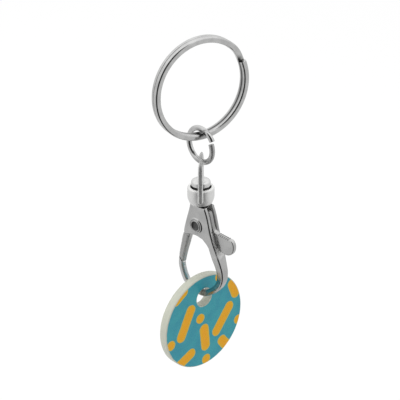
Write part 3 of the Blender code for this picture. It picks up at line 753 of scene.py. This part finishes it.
def plateWithBand(edge, half, fillet, centre, width, bandHalf, bandFillet):
    # an even plate and the band that leaves it, its end cut on a slant. Each level of the
    # rounded edge moves the outline inwards by fillet (1 - cos) and towards the middle
    # plane by fillet (1 - sin)
    run = unit(np.gradient(centre, axis=0))
    left = np.stack([-run[:, 1], run[:, 0]], axis=1)
    slant = smoothStep(0.8, 1, np.linspace(0, 1, len(centre)))[:, None]
    side = (left + run * slant) * width[:, None] / 2
    outline = np.vstack([edge, centre + side, (centre - side)[::-1]])
    first = len(edge)
    last = first + len(centre)
    tangent = unit(np.roll(outline, -1, axis=0) - np.roll(outline, 1, axis=0))
    inward = np.stack([tangent[:, 1], -tangent[:, 0]], axis=1)
    across = side / width[:, None] * 2
    inward[first:last] = -across
    inward[last:] = across[::-1]
    half = np.concatenate([np.full(first, half), bandHalf, bandHalf[::-1]])
    fillet = np.concatenate([np.broadcast_to(fillet, first), bandFillet, bandFillet[::-1]])
    turn = np.linspace(0, math.pi / 2, 8)
    offset = np.concatenate([1 - np.cos(turn[::-1]), 1 - np.cos(turn)])[:, None]
    back = np.concatenate([1 - np.sin(turn[::-1]), 1 - np.sin(turn)])[:, None]
    sign = np.repeat([-1, 1], len(turn))[:, None]
    flat = outline[None] + inward[None] * (fillet * offset)[..., None]
    y = sign * (half - fillet * back)
    points = np.stack([flat[..., 0], y, flat[..., 1]], axis=-1)
    count = len(outline)
    caps = [[*range(first + 1), count - 1]]
    caps += [[first + k, first + k + 1, count - 2 - k, count - 1 - k] for k in range(len(centre) - 1)]
    return bodyOf(points, caps=caps)


def strongest(zones, amounts):
    # each zone, from 0 to 1, times its amount, and the largest of them at every point
    return np.maximum.reduce([zones[name] * amounts[name] for name in amounts])


def hookPost():
    # neck, barrel and domed head, turned about the swivel axis
    neck = post["neck"] / 2
    barrel = post["barrel"] / 2
    head = post["head"] / 2
    floor = collarFoot + swivelEye["collarFloor"] + play["hang"]
    dome = floor + post["headHeight"] - post["dome"]
    under = dome - post["headEdge"]
    turn = np.linspace(0, math.pi / 2, 16)[1:-1]
    crown = np.stack([head * np.cos(turn) ** 0.8, dome + post["dome"] * np.sin(turn)], axis=1)
    start = [
        (neck, hookTop - post["root"]), (neck, floor), (barrel, floor),
        (barrel, under - head + barrel), (head, under), (head, dome),
    ]
    return lathed(np.vstack([start, crown, [(head / 20, dome + post["dome"])]]), 96)


def paintHook(mesh, seatRadius, bossSide):
    # painted shade and painted light on zones that lie in shade or catch light, each a product of smooth
    # steps. Their heights are taken from the nearest joint
    x, y, z = meshPoints(mesh).T
    abovePivot = z - pivotHeight
    aboveCollar = z - collarFoot
    aboveHook = z - hookTop
    onHook = aboveHook < 0
    # painted light and a duller finish inside the slot
    inSlot = smoothStep(slotHalf + 0.12, slotHalf - 0.02, np.abs(y)) * (abovePivot > -6.2) * onHook
    # painted light on the near cheek's edge beside the tab, which the tab shades
    beside = smoothStep(slotHalf + 0.7, slotHalf + 0.4, -y) * (y < 0) * (x > 2.5)
    beside = beside * smoothStep(-0.4, -1, abovePivot) * smoothStep(-7, -6, abovePivot)
    # painted shade in the ring where the rivet's head seats
    seatRing = smoothStep(seatRadius + 0.1, seatRadius, np.hypot(x, abovePivot))
    seatRing = seatRing * (np.abs(y) < bossSide - 0.08)
    # painted shade on the post's neck up to the collar's foot, and on the post inside the collar below its
    # head
    neckZone = smoothStep(1.5, 0, aboveCollar) * (aboveHook > -0.02)
    barrelZone = (np.hypot(x, y) < post["head"] / 2 - 0.05) * smoothStep(4.1, 3.9, aboveCollar)
    barrelZone = barrelZone * (aboveHook > 0)
    # painted shade on the edge of the far cheek, seen past the spine
    spine = fromShares(spineShares)
    spineX = np.interp(-z, -spine[:, 1], spine[:, 0])
    farRim = smoothStep(slotHalf - 0.1, slotHalf + 0.1, y) * smoothStep(0.55, 0.2, spineX - x)
    farRim = farRim * (abovePivot > -2) * onHook
    zones = {"farRim": farRim, "seat": seatRing, "neck": neckZone, "barrel": barrelZone}
    writeAttribute(mesh, "paintedShade", strongest(zones, hookPaintedShade))
    # painted light on the nose and on the post's head
    nose = smoothStep(-2, -4, x) * smoothStep(-4, -6, abovePivot)
    zones = {"head": smoothStep(1.5, 2.5, aboveHook), "nose": nose}
    writeAttribute(mesh, "light", np.maximum.reduce([strongest(zones, hookPaintedLight), inSlot, beside]))
    zones = {"nose": nose, "post": smoothStep(0, 0.3, aboveHook), "slot": np.maximum(inSlot, beside)}
    writeAttribute(mesh, "matte", strongest(zones, hookDull))


def hookCasting(finish):
    # plate and band, post and bosses joined, less the slot and the pivot hole
    band = smoothCurve(fromShares(bandShares), 10)
    width = hook["bar"] * (1 + band[:, 2])
    half = hook["bar"] / 2 + (bodyHalf - hook["bar"] / 2) * band[:, 3]
    barRound = hook["barRoundness"] * hook["bar"] / 2
    fillet = hook["edge"] + (barRound - hook["edge"]) * np.clip(1 - band[:, 3] * 4, 0, 1)
    edge = np.vstack([smoothCurve(fromShares(archShares), 8), fromShares(cornerShares),
                      smoothCurve(fromShares(leftShares), 5), smoothCurve(fromShares(spineShares), 5)])
    plate = plateWithBand(edge, bodyHalf, hook["edge"], band[:, :2], width, half, fillet)
    bossSide = bodyHalf + hook["bossHeight"]
    bossRadius = rivet["head"] / 2 + play["seat"] + hook["bossWall"]
    soft = hook["bossRound"]
    boss = [(bossRadius - soft, -bossSide), (bossRadius, soft - bossSide)]
    seat = bodyHalf - rivet["sink"]
    wide = rivet["head"] / 2 + play["seat"]
    hole = [(wide, -bossSide - play["overrun"]), (wide, -seat), (pivotHole, -seat)]
    slot = slabBetween(fromShares(slotShares), -slotHalf, slotHalf)
    mesh = cast("hookCasting", plate, added=[hookPost(), onPivot(boss)], cut=[slot, onPivot(hole)],
                cell=0.08, relax=5, keep=0.5)
    paintHook(mesh, wide, bossSide)
    return placePiece("hookCasting", mesh, "hook", "hook_body", finish)


# gate lever


def hubArc(first, last, count):
    turn = np.radians(np.linspace(first, last, count))
    return lever["hub"] / 2 * np.stack([np.cos(turn), np.sin(turn)], axis=1) + (0, pivotHeight)


def toothEdge(start, end):
    # saw-cut line: every other point lies one tooth deeper, with short flats between
    count = 4 * lever["teeth"] + 4
    share = np.linspace(0, 1, count + 1)[1:-1, None]
    deep = np.clip(0.5 - 0.9 * np.cos(np.arange(1, count) * math.pi / 2), 0, 1)[:, None]
    return start + (end - start) * share + np.array([0, -lever["toothDepth"]]) * deep


def paintLever(mesh, start, run):
    # share along the toothed line, which runs on from start, and depth below it. Painted shade lies
    # in the grooves, as (1 + cos)^2 / 4 of the turns along the line
    x, z = meshPoints(mesh)[:, [0, 2]].T
    abovePivot = z - pivotHeight
    share = ((x - start[0]) * run[0] + (z - start[1]) * run[1]) / (run**2).sum()
    depth = start[1] + run[1] * share - z
    groove = 0.5 + 0.5 * np.cos(share * 2 * math.pi * (lever["teeth"] + 1))
    groove = groove**2 * smoothStep(0.34, 0.2, depth) * (np.abs(share - 0.5) < 0.46)
    # painted shade near the pivot, in the grooves and on the lobe, where it dims a highlight
    onLobe = smoothStep(0.3, 0.8, x) * smoothStep(-0.9, -0.5, abovePivot) * smoothStep(4.6, 4.2, x)
    zones = {"pivot": smoothStep(2.6, 2.2, np.hypot(x, abovePivot)), "teeth": groove, "lobe": onLobe}
    writeAttribute(mesh, "paintedShade", strongest(zones, leverPaintedShade))
    # painted light and a duller finish on the arm and under the tab, where the lever would mirror the dark
    # part of the room twice
    side = smoothStep(5.6, 4.6, x + (abovePivot + 3) * 0.3) * smoothStep(2, 2.6, x)
    zones = {"arm": smoothStep(-2.4, -3.4, x), "side": side}
    writeAttribute(mesh, "matte", strongest(zones, leverDull))
    writeAttribute(mesh, "light", strongest(zones, leverPaintedLight))


def gateLeverCasting(finish):
    # plate of hub, lobe and tab, with the arm as its band, which thickens past the slot
    arm = smoothCurve(fromShares(armShares), 10)
    width = lever["arm"] * (1 - arm[:, 2])
    fromPivot = np.linalg.norm(arm[:, :2] - (0, pivotHeight), axis=1)
    flare = smoothStep(lever["flareStart"], lever["flareStart"] + lever["flareLength"], fromPivot)
    half = lever["thickness"] / 2 + (width - lever["thickness"]) / 2 * flare
    fillet = lever["edge"] + (lever["armRoundness"] * width / 2 - lever["edge"]) * flare
    lobe = smoothCurve(fromShares(lobeShares), 5)
    tab = smoothCurve(fromShares(tabShares), 6)
    teeth = toothEdge(lobe[-1], tab[0])
    heel = fromShares(heelShares)
    parts = [hubArc(185, 80, 16), lobe, teeth, tab, hubArc(-55, -101, 8), heel]
    # the corners of the teeth stay sharper than the rest
    rounds = np.repeat(lever["edge"] * np.array([1, 1, 0.3, 1, 1, 1]), [len(part) for part in parts])
    plate = plateWithBand(np.vstack(parts), lever["thickness"] / 2, rounds, arm[:, :2], width, half, fillet)
    hole = onPivot([(pivotHole, -lever["thickness"])], 48)
    mesh = cast("gateLeverCasting", plate, cut=[hole], cell=0.055, relax=3)
    paintLever(mesh, lobe[-1], tab[0] - lobe[-1])
    return placePiece("gateLeverCasting", mesh, "gate", "gate_lever", finish)


# rivet and spring


def rivetBody(finish):
    # dished head: depth falls off as 1 - share^4, so the dish has a flat floor and a steep wall
    seat = bodyHalf - rivet["sink"] + play["seat"]
    face = seat + rivet["headHeight"]
    head = rivet["head"] / 2 + play["seat"] * 0.8
    share = np.linspace(0.02, 1, 24)
    dish = np.stack([rivet["dimple"] / 2 * share, face - rivet["dimpleDepth"] * (1 - share**4)], axis=1)
    turn = np.linspace(0, math.pi / 2, 6)
    soft = hook["bossRound"]
    rim = np.stack([head - soft * (1 - np.sin(turn)), face - soft * (1 - np.cos(turn))], axis=1)
    low = np.array([(head, seat), (rivet["shank"] / 2, seat)])
    half = np.vstack([dish, rim, low])
    mesh = meshFrom("gateRivet", onPivot(half), metre)
    x, y, z = meshPoints(mesh).T
    # painted shade in the dish, with a duller finish
    dishEdge = rivet["dimple"] / 2
    inDish = smoothStep(dishEdge + 0.05, dishEdge - 0.03, np.hypot(x, z - pivotHeight))
    inDish = inDish * (np.abs(y) > seat - 0.3)
    writeAttribute(mesh, "paintedShade", inDish * rivetTone["dark"])
    writeAttribute(mesh, "matte", rivetTone["dullness"] + inDish * rivetTone["dishDull"])
    return placePiece("gateRivet", mesh, "hook", "gate_rivet", finish, sharp=40)


spring = {
    "wire": 0.24, "coil": 2.6, "rise": 0.45, "leg": 2.1, "pocket": 0.7,
    "start": math.radians(-53), "turn": math.radians(466),
}


def gateSpringWire(finish):
    # helix round the rivet with a straight leg along the tangent at each end
    coil = spring["coil"] / 2
    turn = spring["start"] + np.linspace(0, spring["turn"], 160)
    ring = coil * np.stack([np.cos(turn), np.sin(turn)], axis=1) + (0, pivotHeight)
    ways = np.stack([-np.sin(turn[[0, -1]]), np.cos(turn[[0, -1]])], axis=1) * spring["leg"]
    flat = np.vstack([ring[0] - ways[0], ring, ring[-1] + ways[1]])
    wound = np.concatenate([[0], turn - spring["start"], [spring["turn"]]])
    inner = spring["pocket"] - lever["thickness"] / 2 - spring["wire"] / 2 - play["seat"]
    path = np.stack([flat[:, 0], inner - wound / 2 / math.pi * spring["rise"], flat[:, 1]], axis=1)
    run = unit(np.gradient(path, axis=0))
    first = unit(np.cross(run, heading(front)))
    around = fullTurn(16)
    a = np.cos(around)[None] * spring["wire"] / 2
    b = np.sin(around)[None] * spring["wire"] / 2
    along = np.concatenate([[0], np.linalg.norm(np.diff(path, axis=0), axis=1).cumsum()])
    return wirePiece("gateSpringWire", carried(path, first, np.cross(run, first), a, b), (a, b), along,
                     "hook", "gate_spring", finish)


# coin

coin = {
    "diameter": 23.25, "thickness": 2.33, "edge": 0.3, "hole": 4.5, "holeEdge": 0.12, "holeOffset": 6.3,
    "yaw": math.radians(-6), "sides": 192, "faceRings": 24,
}


def coinDisc(finish):
    # rings of points, each with a radius, a depth and a centre that slides from the disc's to
    # the hole's, so that the grid runs over the rim, across a face, through the hole and back
    outer = coin["diameter"] / 2
    inner = coin["hole"] / 2
    half = coin["thickness"] / 2
    turn = np.linspace(0, math.pi / 2, 7)
    rimRadius = outer - coin["edge"] * (1 - np.cos(turn))
    rimDepth = half - coin["edge"] * (1 - np.sin(turn))
    holeRadius = (inner + coin["holeEdge"] * (1 - np.cos(turn)))[::-1]
    holeDepth = (half - coin["holeEdge"] * (1 - np.sin(turn)))[::-1]
    share = np.linspace(0, 1, coin["faceRings"] + 2)[1:-1]
    faceRadius = rimRadius[-1] + (holeRadius[0] - rimRadius[-1]) * share
    radius = np.concatenate([rimRadius, faceRadius, holeRadius])
    depth = np.concatenate([rimDepth, np.full(len(share), half), holeDepth])
    slide = np.concatenate([turn * 0, share, turn * 0 + 1]) * coin["holeOffset"]
    radius = np.concatenate([radius, radius[::-1]])
    depth = np.concatenate([depth, -depth[::-1]])
    slide = np.concatenate([slide, slide[::-1]])
    around = fullTurn(coin["sides"])
    x = radius[:, None] * np.cos(around)
    y = radius[:, None] * np.sin(around) + slide[:, None]
    w = np.broadcast_to(depth[:, None], x.shape)
    centre = barFoot + hook["bar"] / 2 + play["coin"] - coin["hole"] / 2 - coin["holeOffset"]
    flat = np.stack([x, y, w], axis=-1)
    grid = laidOver(flat.reshape(-1, 3), centre, coin["yaw"]).reshape(flat.shape)
    mesh = rawMesh("coinDisc", bodyOf(grid, wrapRows=True))
    # the print reads the same way round on both faces
    seen = flat * np.stack([np.where(w < 0, -1.0, 1.0), w * 0 + 1, w * 0 + 1], axis=-1)
    writeAttribute(mesh, "coinPlace", seen.reshape(-1, 3))
    faceOutwards(mesh)
    return placePiece("coinDisc", mesh, "coin", "coin", finish)


# studio

studio = {
    "azimuth": math.radians(42), "elevation": math.radians(26.8), "distance": 420.0,
    "aimSide": -0.2, "aimHeight": -37.8, "lens": 169.08, "floorDrop": 70.0, "floorSide": 6000.0,
    "floorGrey": (0.86, 0.86, 0.86, 1), "floorGlow": 1.06, "floorSeen": 0.8, "ambient": 0.72,
    "roomHeights": (-0.2, 0.85), "roomLight": (0.78, 1.22), "darkShare": 0.05, "darkTop": (0.3, 0.5),
    "darkRound": (50, 28), "darkAhead": (44, 30), "lampAim": -40.0,
}
lamps = (("overhead", (-80, -60, 420), 320, 0.9), ("side", (-380, -220, 60), 260, 0.45))


def cameraAxes():
    a, e = studio["azimuth"], studio["elevation"]
    right = Vector((math.cos(a), math.sin(a), 0))
    back = Vector((math.sin(a) * math.cos(e), -math.cos(a) * math.cos(e), math.sin(e)))
    return right, back.cross(right), back


def makeCamera():
    right, upward, back = cameraAxes()
    data = bpy.data.cameras.new("camera")
    data.lens = studio["lens"]
    data.clip_start = 0.01
    camera = newObject("camera", data)
    aim = right * studio["aimSide"] + Vector((0, 0, studio["aimHeight"]))
    place = (aim + back * studio["distance"]) * metre
    turned = Matrix((right, upward, back)).transposed().to_4x4()
    turned.translation = place
    camera.matrix_world = turned
    bpy.context.scene.camera = camera


def nearness(tree, way, centre, angles):
    # 0 outside the wider of two angles round a direction, 1 inside the narrower
    wider, narrower = (math.cos(math.radians(angle)) for angle in angles)
    return remap(tree, vectors(tree, "DOT_PRODUCT", way, centre), wider, narrower, 0, 1)


def makeWorld():
    # what metal mirrors: a white room, greyer low down, dark where the photographer stands
    world = bpy.data.worlds.new("room")
    bpy.context.scene.world = world
    world.use_nodes = True
    tree = world.node_tree
    tree.nodes.clear()
    way = addNode(tree, "TexCoord").outputs["Generated"]
    height = addNode(tree, "SeparateXYZ", {0: way}).outputs[2]
    level = vectors(tree, "NORMALIZE", vectors(tree, "MULTIPLY", way, (1, 1, 0)))
    toCamera = (math.sin(studio["azimuth"]), -math.cos(studio["azimuth"]), 0)
    dark = nearness(tree, level, toCamera, studio["darkRound"])
    dark = combine(tree, "MULTIPLY", dark, remap(tree, height, *studio["darkTop"], 1, 0))
    ahead = nearness(tree, way, tuple(cameraAxes()[2]), studio["darkAhead"])
    dark = combine(tree, "MAXIMUM", dark, ahead)
    room = remap(tree, height, *studio["roomHeights"], *studio["roomLight"])
    keep = remap(tree, dark, 0, 1, 1, studio["darkShare"], smooth=False)
    strengths = (studio["ambient"], combine(tree, "MULTIPLY", room, keep), 1.0)
    plain, mirrored, white = (
        addNode(tree, "Background", {"Color": (1, 1, 1, 1), "Strength": strength}).outputs[0]
        for strength in strengths
    )
    rays = addNode(tree, "LightPath").outputs
    shown = addNode(tree, "MixShader", {0: rays["Is Glossy Ray"], 1: plain, 2: mirrored}).outputs[0]
    seen = combine(tree, "MAXIMUM", rays["Is Camera Ray"], rays["Is Transmission Ray"])
    shown = addNode(tree, "MixShader", {0: seen, 1: shown, 2: white}).outputs[0]
    addNode(tree, "OutputWorld", {0: shown})


def makeFloor():
    # pale floor well below the hanging ring. Seen directly it is nearly white and keeps shadows
    half = studio["floorSide"] / 2
    height = cadBox[0][2] / metre - studio["floorDrop"]
    corners = np.array([(x * half, y * half, height) for x, y in ((-1, -1), (1, -1), (1, 1), (-1, 1))])
    mesh = rawMesh("floor", (corners, [[0, 1, 2, 3]]))
    made = bpy.data.materials.new("pale floor")
    made.use_nodes = True
    tree = made.node_tree
    tree.nodes.clear()
    rays = addNode(tree, "LightPath").outputs
    matte = addNode(tree, "BsdfDiffuse", {"Color": studio["floorGrey"]}).outputs[0]
    glow = {"Color": (1, 1, 1, 1), "Strength": studio["floorGlow"]}
    glow = addNode(tree, "Emission", glow).outputs[0]
    seen = combine(tree, "MAXIMUM", rays["Is Camera Ray"], rays["Is Glossy Ray"])
    seen = combine(tree, "MAXIMUM", seen, rays["Is Transmission Ray"])
    share = combine(tree, "MULTIPLY", seen, studio["floorSeen"])
    mixed = addNode(tree, "MixShader", {0: share, 1: matte, 2: glow}).outputs[0]
    addNode(tree, "OutputMaterial", {0: mixed})
    mesh.materials.append(made)
    floor = newObject("floor", mesh)
    floor.visible_glossy = False


def addLamp(name, place, size, energy):
    data = bpy.data.lights.new(name, "AREA")
    data.shape = "DISK"
    data.size = size * metre
    data.energy = energy
    lamp = newObject(name, data)
    lamp.location = Vector(place) * metre
    aim = Vector((0, 0, studio["lampAim"] * metre))
    lamp.visible_glossy = False
    lamp.rotation_mode = "QUATERNION"
    lamp.rotation_quaternion = (lamp.location - aim).to_track_quat("Z", "Y")


def makeStudio():
    makeWorld()
    makeFloor()
    for lamp in lamps:
        addLamp(*lamp)
    bpy.context.scene.view_settings.view_transform = "Standard"


def main():
    makeCamera()
    plated = castNickel()
    drawn = wireNickel()
    splitRingWire(drawn)
    jumpRingWire(drawn)
    print("rings made")
    swivelEyeCasting(plated)
    hookCasting(plated)
    gateLeverCasting(plated)
    rivetBody(plated)
    gateSpringWire(drawn)
    print("hook made")
    coinDisc(coinFinish(coin))
    print("coin made")
    makeStudio()


main()
